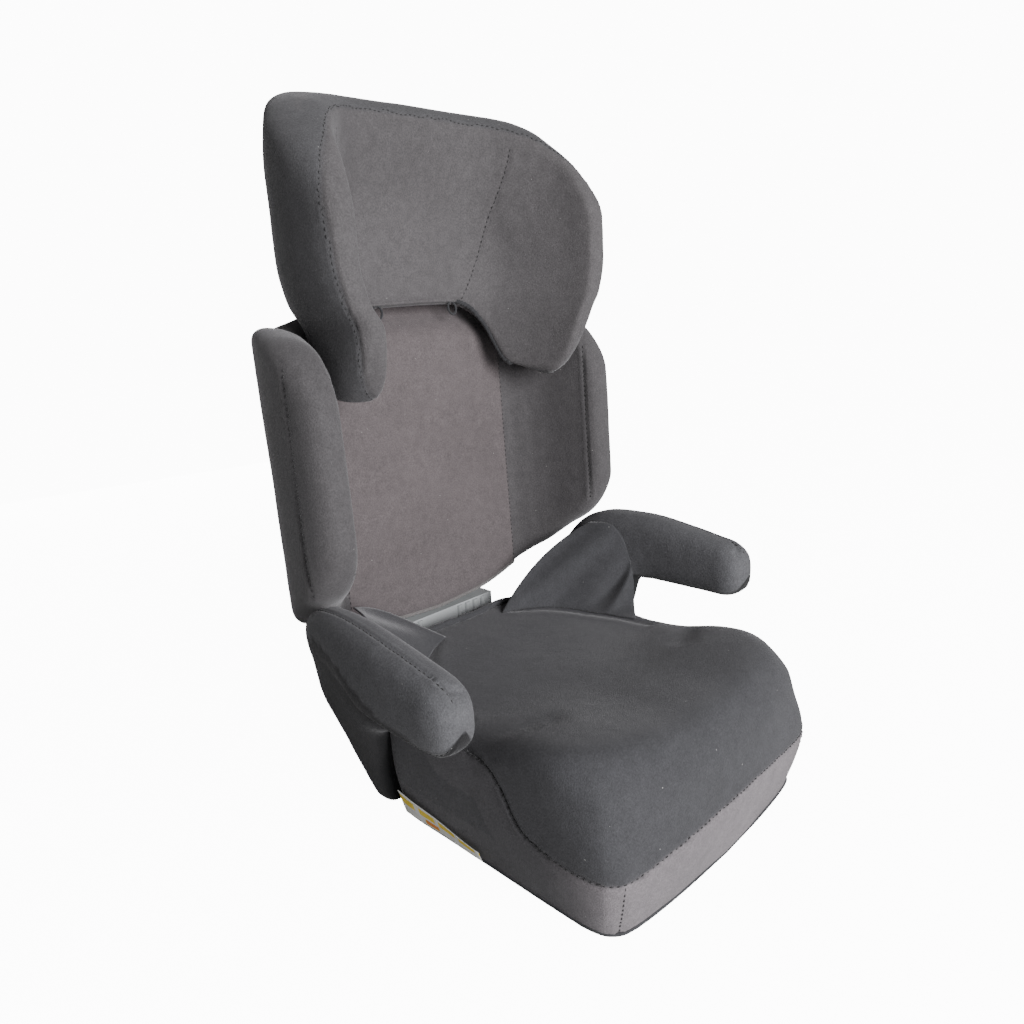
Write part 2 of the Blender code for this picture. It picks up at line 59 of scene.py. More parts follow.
# Padded plates: station, front x y, rear x y, lowest z front and rear, highest z front and rear
BACK_ROWS = [
    (0, 0.000, 0.186, 0.000, 0.236, 0.151, 0.151, 0.521, 0.519),
    (1, 0.070, 0.186, 0.070, 0.236, 0.156, 0.156, 0.520, 0.518),
    (2, 0.128, 0.184, 0.140, 0.234, 0.173, 0.172, 0.506, 0.508),
    (3, 0.149, 0.168, 0.171, 0.223, 0.190, 0.178, 0.490, 0.502),
    (4, 0.163, 0.142, 0.197, 0.187, 0.210, 0.195, 0.496, 0.507),
    (5, 0.170, 0.115, 0.209, 0.150, 0.232, 0.219, 0.490, 0.501),
    (6, 0.175, 0.089, 0.215, 0.110, 0.252, 0.240, 0.476, 0.486),
    (7, 0.179, 0.070, 0.213, 0.073, 0.272, 0.266, 0.457, 0.464),
]
HEAD_ROWS = [
    (0, 0.000, 0.188, 0.000, 0.226, 0.514, 0.515, 0.717, 0.720),
    (1, 0.065, 0.187, 0.065, 0.226, 0.512, 0.515, 0.716, 0.720),
    (2, 0.100, 0.174, 0.112, 0.216, 0.486, 0.515, 0.712, 0.718),
    (3, 0.121, 0.150, 0.150, 0.206, 0.430, 0.507, 0.705, 0.717),
    (4, 0.137, 0.120, 0.172, 0.178, 0.423, 0.465, 0.692, 0.707),
    (5, 0.147, 0.095, 0.184, 0.147, 0.426, 0.428, 0.673, 0.687),
    (6, 0.153, 0.075, 0.189, 0.110, 0.440, 0.430, 0.654, 0.666),
    (7, 0.158, 0.058, 0.187, 0.064, 0.470, 0.464, 0.630, 0.638),
]
# Width of the headrest as a share of the table's, by height
HEAD_TAPER = [(0.42, 0.83), (0.495, 0.86), (0.52, 0.95), (0.56, 1.00), (0.64, 1.00), (0.72, 0.95)]

# Base outline at each height: z, half width, rear half width, front y, rear y, front bow
SEAT_WALL = [
    (0.004, 0.158, 0.126, -0.198, 0.150, 0.009),
    (0.035, 0.166, 0.127, -0.205, 0.151, 0.011),
    (0.070, 0.171, 0.128, -0.210, 0.152, 0.012),
    (0.115, 0.172, 0.130, -0.205, 0.154, 0.010),
    (0.160, 0.170, 0.130, -0.200, 0.154, 0.009),
]
# Height of the seat's top along y, in the middle and along its side edges
SEAT_TOP = [(-0.230, 0.153, 0.158), (-0.165, 0.152, 0.162), (-0.120, 0.147, 0.158),
            (-0.070, 0.141, 0.147), (-0.010, 0.139, 0.137), (0.050, 0.141, 0.141),
            (0.110, 0.146, 0.146), (0.160, 0.148, 0.146)]
SEAT_EDGE = [(-0.230, 0.050), (-0.200, 0.040), (-0.170, 0.028), (-0.130, 0.023),
             (-0.050, 0.020), (0.060, 0.018), (0.110, 0.010), (0.160, 0.008)]

# Armrest: station, centre x y z, half width, direction y z of its depth, half depth
ARM_ROWS = [
    (0, 0.1470, 0.1090, 0.004, 0.0145, 1.000, 0.000, 0.0170),
    (1, 0.1575, 0.1240, 0.060, 0.0155, 1.000, 0.000, 0.0350),
    (2, 0.1710, 0.1240, 0.105, 0.0165, 1.000, 0.080, 0.0470),
    (3, 0.1870, 0.1015, 0.150, 0.0185, 0.941, 0.337, 0.0640),
    (4, 0.1980, 0.0920, 0.182, 0.0200, 0.928, 0.373, 0.0590),
    (5, 0.2060, 0.0795, 0.199, 0.0215, 0.810, 0.587, 0.0550),
    (6, 0.2110, 0.0600, 0.206, 0.0225, 0.602, 0.798, 0.0490),
    (7, 0.2150, 0.0325, 0.207, 0.0235, 0.291, 0.957, 0.0425),
    (8, 0.2180, -0.0100, 0.2045, 0.0240, 0.000, 1.000, 0.0385),
    (9, 0.2195, -0.0520, 0.2010, 0.0240, 0.000, 1.000, 0.0350),
    (10, 0.2205, -0.1060, 0.1960, 0.0235, 0.000, 1.000, 0.0300),
]


# ---- numbers

def smooth(rows, places):
    """Smooth reading of a table whose first column is the place; it never overshoots."""
    rows = np.array(rows, float)
    x, y = rows[:, 0], rows[:, 1:]
    slope = np.diff(y, axis=0) / np.diff(x)[:, None]
    same = slope[:-1] * slope[1:] > 0
    total = np.where(same, slope[:-1] + slope[1:], 1.0)
    tangent = np.concatenate([slope[:1], np.where(same, 2 * slope[:-1] * slope[1:] / total, 0.0),
                              slope[-1:]])
    places = np.clip(np.asarray(places, float), x[0], x[-1])
    k = np.clip(np.searchsorted(x, places, side="right") - 1, 0, len(x) - 2)
    width = (x[k + 1] - x[k])[..., None]
    t = ((places - x[k]) / (x[k + 1] - x[k]))[..., None]
    return ((2 * t ** 3 - 3 * t ** 2 + 1) * y[k] + (t ** 3 - 2 * t ** 2 + t) * width * tangent[k]
            + (3 * t ** 2 - 2 * t ** 3) * y[k + 1] + (t ** 3 - t ** 2) * width * tangent[k + 1])


def ease(low, high, value):
    """0 below low, 1 above high, and a smooth step between."""
    t = np.clip((np.asarray(value, float) - low) / (high - low), 0.0, 1.0)
    return t * t * (3.0 - 2.0 * t)


def round_edge(distance, radius, power):
    """Share of the full thickness at a distance in from a rounded edge."""
    t = np.clip(distance / radius, 0.0, 1.0)
    return (1.0 - (1.0 - t) ** power) ** (1.0 / power)


def edge_spaced(length, edge, steps, pitch):
    """Places from 0 to length, close together near both ends and pitch apart between."""
    near = [edge * (1.0 - math.cos(0.5 * math.pi * i / steps)) for i in range(steps + 1)]
    count = max(2, round((length - 2.0 * edge) / pitch))
    middle = np.linspace(edge, length - edge, count + 1)[1:-1]
    return np.array(near + list(middle) + [length - place for place in reversed(near)])


def lengths_along(path):
    """Distance along a path to each of its points."""
    return np.concatenate([[0.0], np.cumsum(np.linalg.norm(np.diff(path, axis=0), axis=1))])


def read_along(path, reach, places):
    """Points at some distances along a path."""
    return np.stack([np.interp(places, reach, path[:, axis]) for axis in range(3)], axis=-1)


def spline(points, pitch):
    """Evenly spaced points on a smooth curve through a few points."""
    points = [Vector(point) for point in points]
    ends = [2 * points[0] - points[1]] + points + [2 * points[-1] - points[-2]]
    fine = []
    for a, b, c, d in zip(ends, ends[1:], ends[2:], ends[3:]):
        steps = max(2, math.ceil(4.0 * (c - b).length / pitch))
        for i in range(steps):
            t = i / steps
            fine.append(0.5 * (2 * b + (c - a) * t + (2 * a - 5 * b + 4 * c - d) * t ** 2
                               + (3 * b - a - 3 * c + d) * t ** 3))
    fine = np.array(fine + [points[-1]], float)
    reach = lengths_along(fine)
    count = max(2, round(reach[-1] / pitch))
    return read_along(fine, reach, np.linspace(0.0, reach[-1], count + 1))


def unit(vectors):
    """Rows scaled to length one."""
    return vectors / np.maximum(np.linalg.norm(vectors, axis=-1, keepdims=True), 1e-9)


def nearest(line, points):
    """For each point, the index of the nearest point of a line and its distance."""
    tree = KDTree(len(line))
    for index, point in enumerate(line):
        tree.insert(point, index)
    tree.balance()
    found = [tree.find(point)[1:] for point in points]
    return [index for index, _ in found], np.array([distance for _, distance in found])


def mirrored(points, side):
    """The points, on the right for side 1 and on the left for side -1."""
    return [(side * x, y, z) for x, y, z in points]


def both_sides(points):
    """The line on the left and on the right."""
    return [np.array(mirrored(points, side)) for side in (-1, 1)]


# ---- mesh

def grid_faces(columns, rows):
    """Quads of a grid whose points run along its rows first."""
    return [(a, a + 1, a + rows + 1, a + rows) for i in range(columns - 1)
            for a in range(i * rows, (i + 1) * rows - 1)]


def ring_faces(rings, sides, start=0, closed=False):
    """Quads between rings of points, with flat ends or joined end to end."""
    faces = []
    for i in range(rings if closed else rings - 1):
        for k in range(sides):
            n, above = (k + 1) % sides, (i + 1) % rings
            faces.append(tuple(start + v for v in (i * sides + k, i * sides + n,
                                                   above * sides + n, above * sides + k)))
    if not closed:
        last = start + (rings - 1) * sides
        faces += [tuple(range(start, start + sides)), tuple(range(last, last + sides))]
    return faces


def add_piece(name, verts, faces, material, body):
    """New smooth mesh piece that rides on a body."""
    mesh = bpy.data.meshes.new(name)
    mesh.from_pydata([tuple(map(float, vert)) for vert in verts], [], faces)
    mesh.validate()
    mesh.materials.append(material)
    item = bpy.data.objects.new(name, mesh)
    SCENE.collection.objects.link(item)
    shape = bmesh.new()
    shape.from_mesh(mesh)
    bmesh.ops.recalc_face_normals(shape, faces=shape.faces)
    shape.to_mesh(mesh)
    shape.free()
    mesh.shade_smooth()
    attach(item, body)
    return item


def read_vectors(data, name):
    """A vector of every vertex, such as its place (co) or its normal."""
    values = np.zeros(len(data) * 3, np.float32)
    data.foreach_get(name, values)
    return values.reshape(-1, 3)


def get_points(item):
    return read_vectors(item.data.vertices, "co").astype(float)


def set_points(item, points):
    item.data.vertices.foreach_set("co", np.asarray(points, np.float32).ravel())
    item.data.update()


def modify(item, kind, **settings):
    """Replace the item's mesh by what one modifier makes of it."""
    modifier = item.modifiers.new(kind, kind)
    for name, value in settings.items():
        setattr(modifier, name, value)
    graph = bpy.context.evaluated_depsgraph_get()
    graph.update()
    mesh = bpy.data.meshes.new_from_object(item.evaluated_get(graph))
    item.modifiers.clear()
    item.data = mesh
    mesh.shade_smooth()


def relax(item, share):
    """Move every vertex part of the way to the middle of its neighbours."""
    points = get_points(item)
    edges = np.array([tuple(edge.vertices) for edge in item.data.edges])
    total, count = np.zeros_like(points), np.zeros(len(points))
    for first, second in (edges.T, edges.T[::-1]):
        np.add.at(total, first, points[second])
        np.add.at(count, first, 1.0)
    middle = total / count[:, None]
    set_points(item, points + 0.5 * share(points)[:, None] * (middle - points))


def subdivide(item):
    modify(item, "SUBSURF", levels=1, render_levels=1)


def thicken(item, thickness):
    """Give an open sheet a back side."""
    modify(item, "SOLIDIFY", thickness=thickness, offset=-1.0)


def inflate(item, held, cap, pressure=4.0):
    """Blow a cover up by cloth simulation.

    held is how firmly each vertex stays, and cap is the furthest that one may move.
    """
    group = item.vertex_groups.new(name="held")
    for index, weight in enumerate(held):
        group.add([index], float(weight), "REPLACE")
    before = get_points(item)
    cloth = item.modifiers.new("cloth", "CLOTH")
    for name, value in (("quality", 6), ("mass", 0.25), ("tension_stiffness", 12.0),
                        ("compression_stiffness", 12.0), ("shear_stiffness", 6.0),
                        ("bending_stiffness", 1.5), ("use_pressure", True),
                        ("uniform_pressure_force", pressure), ("vertex_group_mass", "held")):
        setattr(cloth.settings, name, value)
    cloth.settings.effector_weights.gravity = 0.0
    cloth.collision_settings.use_collision = False
    cloth.point_cache.frame_start = 1
    cloth.point_cache.frame_end = CLOTH_FRAMES
    for number in range(1, CLOTH_FRAMES + 1):
        SCENE.frame_set(number)
    graph = bpy.context.evaluated_depsgraph_get()
    mesh = bpy.data.meshes.new_from_object(item.evaluated_get(graph))
    move = read_vectors(mesh.vertices, "co") - before
    bpy.data.meshes.remove(mesh)
    item.modifiers.clear()
    item.vertex_groups.clear()
    SCENE.frame_set(1)
    length = np.linalg.norm(move, axis=1, keepdims=True)
    limit = cap * np.tanh(length / cap) / np.maximum(length, 1e-9)
    set_points(item, before + move * limit)


def surface(item):
    """Search tree over the item's faces."""
    points = [tuple(point) for point in get_points(item)]
    return BVHTree.FromPolygons(points, [tuple(face.vertices) for face in item.data.polygons])


def lay_on(item, points):
    """Nearest points of the item's surface, with its normals there."""
    tree = surface(item)
    found = [tree.find_nearest(Vector(point)) for point in points]
    return np.array([place for place, _, _, _ in found]), np.array([n for _, n, _, _ in found])


def press(item, line, width, depth, puff=0.35):
    """Sink the surface along a seam line, with a slight swell beside it."""
    points = get_points(item)
    reach = 4.0 * width
    low, high = line.min(0) - reach, line.max(0) + reach
    near = np.nonzero(np.all((points > low) & (points < high), axis=1))[0]
    distance = nearest(line, points[near])[1]
    near, t = near[distance < reach], distance[distance < reach] / width
    change = np.zeros(len(points))
    change[near] = -depth * np.exp(-t * t) + puff * depth * np.exp(-(t - 2) ** 2)
    set_points(item, points + read_vectors(item.data.vertices, "normal") * change[:, None])


def tube(name, path, radius, material, body, sides=6, closed=False):
    """Round cord along a path; radius is one number or one for each point."""
    path = np.asarray(path, float)
    count = len(path)
    radii = np.broadcast_to(np.asarray(radius, float), count)
    tangents = np.gradient(path, axis=0)
    if closed:
        tangents = np.roll(path, -1, axis=0) - np.roll(path, 1, axis=0)
    tangents = unit(tangents)
    across = Vector(tangents[0]).orthogonal().normalized()
    verts = []
    for point, tangent, size in zip(path, tangents, radii.tolist()):
        tangent = Vector(tangent)
        across = (across - across.dot(tangent) * tangent).normalized()
        other = tangent.cross(across)
        for k in range(sides):
            angle = 2.0 * math.pi * k / sides
            verts.append(Vector(point) + size * (math.cos(angle) * across
                                                 + math.sin(angle) * other))
    return add_piece(name, verts, ring_faces(count, sides, closed=closed), material, body)


def stitches(path, normals):
    """Short raised threads in a row along a seam, as points and faces."""
    reach = lengths_along(path)
    verts, faces = [], []
    sides, rows = 5, 5
    start = 0.5 * STITCH_GAP
    while start + STITCH_LENGTH < reach[-1]:
        faces += ring_faces(rows, sides, len(verts))
        for share in np.linspace(0.0, 1.0, rows).tolist():
            place = start + share * STITCH_LENGTH
            point = read_along(path, reach, place)
            normal = Vector(read_along(normals, reach, place)).normalized()
            ahead = read_along(path, reach, place + 0.0005) - point
            side = Vector(ahead).normalized().cross(normal)
            dome = math.sin(math.pi * min(max(share, 0.04), 0.96))
            size = STITCH_RADIUS * (0.35 + 0.65 * dome)
            centre = Vector(point) + normal * (STITCH_RADIUS * (1.3 * dome - 0.5))
            for k in range(sides):
                angle = 2.0 * math.pi * k / sides
                verts.append(centre + size * (math.cos(angle) * side + math.sin(angle) * normal))
        start += STITCH_LENGTH + STITCH_GAP
    return verts, faces


def add_stitching(name, seams, body):
    """One piece of all the stitches of several seams."""
    verts, faces = [], []
    for more, corners in seams:
        faces += [tuple(len(verts) + i for i in face) for face in corners]
        verts += more
    return add_piece(name, verts, faces, SEAM_THREAD, body)


# ---- materials

def new_material(name, colour, roughness, metallic=0.0):
    made = bpy.data.materials.new(name)
    made.use_nodes = True
    shader = made.node_tree.nodes["Principled BSDF"]
    feed(made.node_tree, shader, {"Base Color": colour, "Roughness": roughness,
                                  "Metallic": metallic})
    return made, made.node_tree, shader


def feed(tree, node, inputs):
    """Set a node's inputs to numbers or colours, or link them to other nodes' outputs."""
    for key, value in inputs.items():
        if isinstance(value, tuple):
            node.inputs[key].default_value = (*value, 1.0)
        elif isinstance(value, (int, float)):
            node.inputs[key].default_value = value
        else:
            tree.links.new(value, node.inputs[key])


def noise_node(tree, coords, scale, detail=2.0, roughness=0.5):
    node = tree.nodes.new("ShaderNodeTexNoise")
    feed(tree, node, {"Scale": scale, "Detail": detail, "Roughness": roughness, "Vector": coords})
    return node.outputs["Fac"]


def voronoi_node(tree, coords, scale):
    node = tree.nodes.new("ShaderNodeTexVoronoi")
    feed(tree, node, {"Scale": scale, "Vector": coords})
    return node


def math_node(tree, operation, *values):
    node = tree.nodes.new("ShaderNodeMath")
    node.operation = operation
    feed(tree, node, dict(enumerate(values)))
    return node.outputs[0]


def mix_colour(tree, factor, first, second, blend="MIX"):
    """Blend of two colours; the shader node's colour sockets are numbers 6 and 7."""
    node = tree.nodes.new("ShaderNodeMix")
    node.data_type = "RGBA"
    node.blend_type = blend
    feed(tree, node, {0: factor, 6: first, 7: second})
    return node.outputs[2]


def shaded(tree, colour, value):
    """The colour made darker or lighter by a value."""
    node = tree.nodes.new("ShaderNodeCombineColor")
    feed(tree, node, {0: value, 1: value, 2: value})
    return mix_colour(tree, 1.0, colour, node.outputs[0], "MULTIPLY")


def spread(tree, value, low, high):
    """A noise value stretched to run from low to high."""
    node = tree.nodes.new("ShaderNodeMapRange")
    feed(tree, node, {"Value": value, "From Min": 0.3, "From Max": 0.7, "To Min": low,
                      "To Max": high})
    return node.outputs["Result"]


def painted_light_and_print_node(tree):
    node = tree.nodes.new("ShaderNodeAttribute")
    node.attribute_name = "painted_light_and_print"
    return node.outputs["Fac"]


def add_bump(tree, shader, height, strength, distance):
    node = tree.nodes.new("ShaderNodeBump")
    feed(tree, node, {"Strength": strength, "Distance": distance, "Height": height})
    feed(tree, shader, {"Normal": node.outputs["Normal"]})


def object_coords(tree):
    return tree.nodes.new("ShaderNodeTexCoord").outputs["Object"]


def knit(name, colour, second, sheen=0.35, lint=0.5):
    """Short-pile knitted polyester: fine loops, soft mottling, pale lint and a soft sheen.

    The share that paint() stores blends from the first colour to the second; on the seat, armrests
    and headrest that blend is painted light and shade, and on the backrest it is partly painted
    shade.
    """
    made, tree, shader = new_material(name, colour, 0.88)
    coords = object_coords(tree)
    loops = voronoi_node(tree, coords, 1150.0)
    fine = noise_node(tree, coords, 620.0, 3.0, 0.65)
    patch = noise_node(tree, coords, 90.0, 4.0, 0.6)
    broad = noise_node(tree, coords, 9.0)
    value = math_node(tree, "MULTIPLY", spread(tree, fine, 0.72, 1.30),
                      spread(tree, patch, 0.90, 1.10))
    value = math_node(tree, "MULTIPLY", value, spread(tree, broad, 0.93, 1.07))
    base = shaded(tree, mix_colour(tree, painted_light_and_print_node(tree), colour, second), value)
    flecks = voronoi_node(tree, coords, 130.0)
    picked = tree.nodes.new("ShaderNodeSeparateColor")
    feed(tree, picked, {0: flecks.outputs["Color"]})
    rare = math_node(tree, "GREATER_THAN", picked.outputs[0], 0.93)
    close = math_node(tree, "LESS_THAN", flecks.outputs["Distance"], 0.075)
    fleck = math_node(tree, "MULTIPLY", math_node(tree, "MULTIPLY", rare, close), lint)
    feed(tree, shader, {
        "Base Color": mix_colour(tree, fleck, base, (0.42, 0.41, 0.40)),
        "Roughness": spread(tree, fine, 0.80, 0.96), "Specular IOR Level": 0.25,
        "Sheen Weight": sheen, "Sheen Roughness": 0.45, "Sheen Tint": (0.86, 0.85, 0.88)})
    height = math_node(tree, "MULTIPLY_ADD", loops.outputs["Distance"], 0.6, fine)
    height = math_node(tree, "MULTIPLY_ADD", patch, 0.8, height)
    add_bump(tree, shader, height, 0.45, 0.0007)
    return made


def moulded(name, colour, roughness, grain=0.25):
    """Injection-moulded plastic with a fine spark-eroded grain and slight shine changes."""
    made, tree, shader = new_material(name, colour, roughness)
    coords = object_coords(tree)
    fine = noise_node(tree, coords, 1300.0)
    flow = noise_node(tree, coords, 16.0, 3.0)
    feed(tree, shader, {
        "Base Color": shaded(tree, colour, spread(tree, flow, 0.88, 1.12)),
        "Roughness": spread(tree, flow, roughness * 0.85, roughness * 1.2),
        "Specular IOR Level": 0.5})
    add_bump(tree, shader, fine, grain, 0.0002)
    return made


def plated(name):
    """Zinc-plated steel with fine drawing marks."""
    made, tree, shader = new_material(name, (0.56, 0.56, 0.58), 0.3, 1.0)
    stretch = tree.nodes.new("ShaderNodeMapping")
    stretch.inputs["Scale"].default_value = (40.0, 900.0, 900.0)
    feed(tree, stretch, {"Vector": object_coords(tree)})
    marks = noise_node(tree, stretch.outputs["Vector"], 1.0, 3.0)
    feed(tree, shader, {
        "Base Color": mix_colour(tree, marks, (0.48, 0.48, 0.50), (0.64, 0.63, 0.62)),
        "Roughness": spread(tree, marks, 0.22, 0.42)})
    add_bump(tree, shader, marks, 0.15, 0.0002)
    return made


def thread(name, colour):
    """Spun sewing thread."""
    made, tree, shader = new_material(name, colour, 0.7)
    twist = noise_node(tree, object_coords(tree), 2400.0, 1.0)
    dark, light = (tuple(share * c for c in colour) for share in (0.6, 1.4))
    feed(tree, shader, {"Base Color": mix_colour(tree, twist, dark, light), "Sheen Weight": 0.15})
    add_bump(tree, shader, twist, 0.4, 0.0002)
    return made


# Fabrics: colour, colour where paint() stores 1 (painted light and shade on the pads), strength of
# the sheen and of the lint
# SEAT's lighter second colour is painted light on the seat's front wall below its seam.
SEAT = knit("seat_knit", (0.040, 0.040, 0.044), (0.145, 0.131, 0.140), 0.24)
# BACK's second colour, on the wings and the rear, is partly the cloth's cooler tone and partly
# painted shade.
BACK = knit("back_knit", (0.100, 0.086, 0.089), (0.068, 0.064, 0.067), 0.30)
# HEAD's darker second colour is painted shade on the headrest's band and sides outside the rim seam.
HEAD = knit("head_knit", (0.080, 0.075, 0.078), (0.064, 0.063, 0.067), 0.20)
# ARM's near-black second colour is painted shade on the armrests' outer sides and undersides.
ARM = knit("arm_knit", (0.078, 0.078, 0.084), (0.008, 0.008, 0.009), 0.16)
BINDING = knit("binding_knit", (0.150, 0.140, 0.138), (0.150, 0.140, 0.138), 0.25, 0.2)
DARK = knit("dark_knit", (0.030, 0.030, 0.033), (0.030, 0.030, 0.033), 0.22, 0.3)
# Threads, plastics and metal
SEAM_THREAD = thread("seam_thread", (0.016, 0.015, 0.017))
PALE_THREAD = thread("pale_thread", (0.120, 0.118, 0.125))
BLACK_PLASTIC = moulded("black_plastic", (0.020, 0.020, 0.021), 0.42)
GREY_PLASTIC = moulded("grey_plastic", (0.430, 0.445, 0.455), 0.20, 0.12)
STEEL = plated("plated_steel")


# ---- sewing

def paint(item, values):
    """Store the share of the second colour at each vertex: painted light and shade on the cloth
    pads, print on the label.
    """
    layer = item.data.attributes.get("painted_light_and_print") or item.data.attributes.new("painted_light_and_print", "FLOAT", "POINT")
    layer.data.foreach_set("value", np.asarray(values, np.float32))


def read_attribute(item, name):
    values = np.zeros(len(item.data.vertices), np.float32)
    item.data.attributes[name].data.foreach_get("value", values)
    return values


def sideways(path, normals):
    """Directions across a line on a surface."""
    return unit(np.cross(np.gradient(path, axis=0), normals))


def crossing(points, path, normals):
    """Signed distance over a line on a surface, positive to its left hand, and plain distance."""
    index, plain = nearest(path, points)
    return np.sum((points - path[index]) * sideways(path, normals)[index], axis=1), plain


def settle(pad, path):
    """Even path on a pad: laid on its surface and smoothed in turns."""
    path, _ = lay_on(pad, spline(path, SEAM_PITCH))
    for _ in range(6):
        path[1:-1] = 0.25 * path[:-2] + 0.5 * path[1:-1] + 0.25 * path[2:]
    return lay_on(pad, spline(path, SEAM_PITCH))


def sew(pad, path, depth, width, shift=0.0):
    """Sink a seam into a pad and return the stitches along it, shifted sideways if asked."""
    path, _ = settle(pad, path)
    press(pad, path, width, depth)
    path, normals = lay_on(pad, path)
    if shift:
        path, normals = lay_on(pad, path + shift * sideways(path, normals))
    return stitches(path, normals)


def crease(pad, path, width, depth):
    """Soft valley in a pad along a line."""
    path, _ = lay_on(pad, spline(path, 0.004))
    press(pad, path, width, depth, 0.2)


def unevenness(item, broad, fine, seed):
    """Slight waves that padding and stretched cloth always have."""
    points = get_points(item)
    away = Vector((seed, 0.0, 0.0))
    change = np.array([broad * noise.noise(Vector(point) * 16.0 + away)
                       + fine * noise.noise(Vector(point) * 55.0 + away) for point in points])
    set_points(item, points + read_vectors(item.data.vertices, "normal") * change[:, None])


def gathered(name, path, radius, material, body, pitch=0.0042, pucker=0.22):
    """Hem: a soft roll of cloth, puckered at uneven steps."""
    path = spline(path, 0.0008)
    reach = np.arange(len(path)) * 0.0008
    uneven = reach + 0.8 * pitch * np.sin(reach / (2.3 * pitch))
    radii = radius * (1.0 - pucker + pucker * np.abs(np.sin(math.pi * uneven / pitch)))
    ends = np.minimum(1.0, np.minimum(reach, reach[-1] - reach) / (1.5 * radius) + 0.3)
    return tube(name, path, radii * ends, material, body, 10)


# ---- padded plates

class Plate:
    """Curved padded plate given by its front and rear faces at each station.

    Its outer corners are rounded from the corner's station on, by the corner's size.
    """

    def __init__(self, rows, finish, corner):
        self.rows = rows
        self.finish = finish
        self.corner = corner
        last = rows[-1][0]
        self.fine = np.linspace(-last, last, 400)
        front, rear = self.faces(self.fine, 0.6)
        self.reach = lengths_along(0.5 * (front + rear))

    def faces(self, stations, shares):
        """Front and rear points for matching stations and shares of the height."""
        stations, shares = np.broadcast_arrays(stations, shares)
        sign = np.where(stations < 0, -1.0, 1.0)
        table = np.moveaxis(smooth(self.rows, np.abs(stations)), -1, 0)
        fx, fy, rx, ry, low_f, low_r, high_f, high_r = table
        start, size = self.corner
        t = np.clip((np.abs(stations) - start) / (self.rows[-1][0] - start), 0.0, 1.0)
        cut = size * (1.0 - np.sqrt(1.0 - t * t))
        result = []
        for rear, x, y, low, high in ((False, fx, fy, low_f, high_f), (True, rx, ry, low_r, high_r)):
            z = low + cut + shares * (high - low - 2.0 * cut)
            flat = np.stack([x * sign, y, z], axis=-1)
            result.append(self.finish(flat, np.abs(stations), shares, rear))
        return result

    def line(self, stations, shares, rear=False):
        """Points along a path given by matching lists of stations and shares."""
        steps = np.linspace(0.0, 1.0, len(stations))
        fine = np.linspace(0.0, 1.0, 60)
        found = self.faces(np.interp(fine, steps, stations), np.interp(fine, steps, shares))
        return found[1 if rear else 0]


def finish_back(points, stations, _, rear):
    """Tip the backrest rearward and set its top back, under the headrest."""
    x, y, z = np.moveaxis(points, -1, 0)
    y = y + LEAN * (z - BACK_FOOT[2])
    if not rear:
        y = y + 0.029 * ease(0.478, 0.512, z) * (1.0 - ease(1.7, 2.6, stations))
    return np.stack([x, y, z], axis=-1)


def finish_head(points, stations, shares, rear):
    """Narrow the headrest downward and bring its top forward over the middle."""
    x, y, z = np.moveaxis(points, -1, 0)
    middle = 1.0 - ease(2.0, 5.0, stations)
    curl = 0.012 * ease(0.70, 1.0, shares) if rear else 0.022 * ease(0.45, 1.0, shares)
    return np.stack([x * smooth(HEAD_TAPER, z)[..., 0], y - middle * curl, z], axis=-1)


def pillow(name, plate, wrap, radius, power, pitch, material, body):
    """Closed pad on a plate. wrap is where its rear face lies outside the moulded wall."""
    places = edge_spaced(plate.reach[-1], radius, 6, pitch)
    stations = np.interp(places, plate.reach, plate.fine)[:, None]
    shares = (edge_spaced(0.24, radius, 6, pitch) / 0.24)[None, :]
    front, rear = plate.faces(stations, shares)
    outside = wrap(np.abs(stations), shares)[..., None]
    rear = rear - unit(rear - front) * SHELL_DEPTH * (1.0 - outside)
    middle = 0.5 * (front + rear)
    rim = np.concatenate([spline(side, 0.0012) for side in
                          (middle[0], middle[-1], middle[:, 0], middle[:, -1])])
    distance = nearest(rim, middle.reshape(-1, 3))[1].reshape(middle.shape[:2])
    half = 0.5 * np.linalg.norm(rear - front, axis=-1)
    edge = np.minimum(radius, 1.15 * half + 0.004)
    size = round_edge(distance, edge, power)
    size[0] = size[-1] = 0.0
    size[:, 0] = size[:, -1] = 0.0
    size = size[..., None]
    near = middle + (front - middle) * size
    far = middle + (rear - middle) * size
    columns, rows = size.shape[:2]
    verts = list(near.reshape(-1, 3))
    index_near = np.arange(columns * rows).reshape(columns, rows)
    index_far = index_near.copy()
    index_far[1:-1, 1:-1] = (columns * rows
                             + np.arange((columns - 2) * (rows - 2)).reshape(columns - 2, rows - 2))
    verts += list(far[1:-1, 1:-1].reshape(-1, 3))
    behind = np.concatenate([np.where(size == 0.0, 0.5, 0.0).ravel(),
                             np.ones((columns - 2) * (rows - 2))])
    place = np.broadcast_to(np.abs(stations), (columns, rows))
    place = np.concatenate([place.ravel(), place[1:-1, 1:-1].ravel()])
    faces = []
    for quad in grid_faces(columns, rows):
        faces.append(quad)
        faces.append(tuple(index_far.ravel()[list(quad[::-1])].tolist()))
    pad = add_piece(name, verts, faces, material, body)
    for label, values in (("behind", behind), ("place", place)):
        layer = pad.data.attributes.new(label, "FLOAT", "POINT")
        layer.data.foreach_set("value", np.asarray(values, np.float32))
    return pad


def seam_weights(item, lines, reach, rest):
    """How firmly each vertex is held: fully on a seam line, and rest away from it."""
    distance = nearest(np.concatenate(lines), get_points(item))[1]
    return np.maximum(rest, 1.0 - ease(0.0, reach, distance))


# ---- backrest

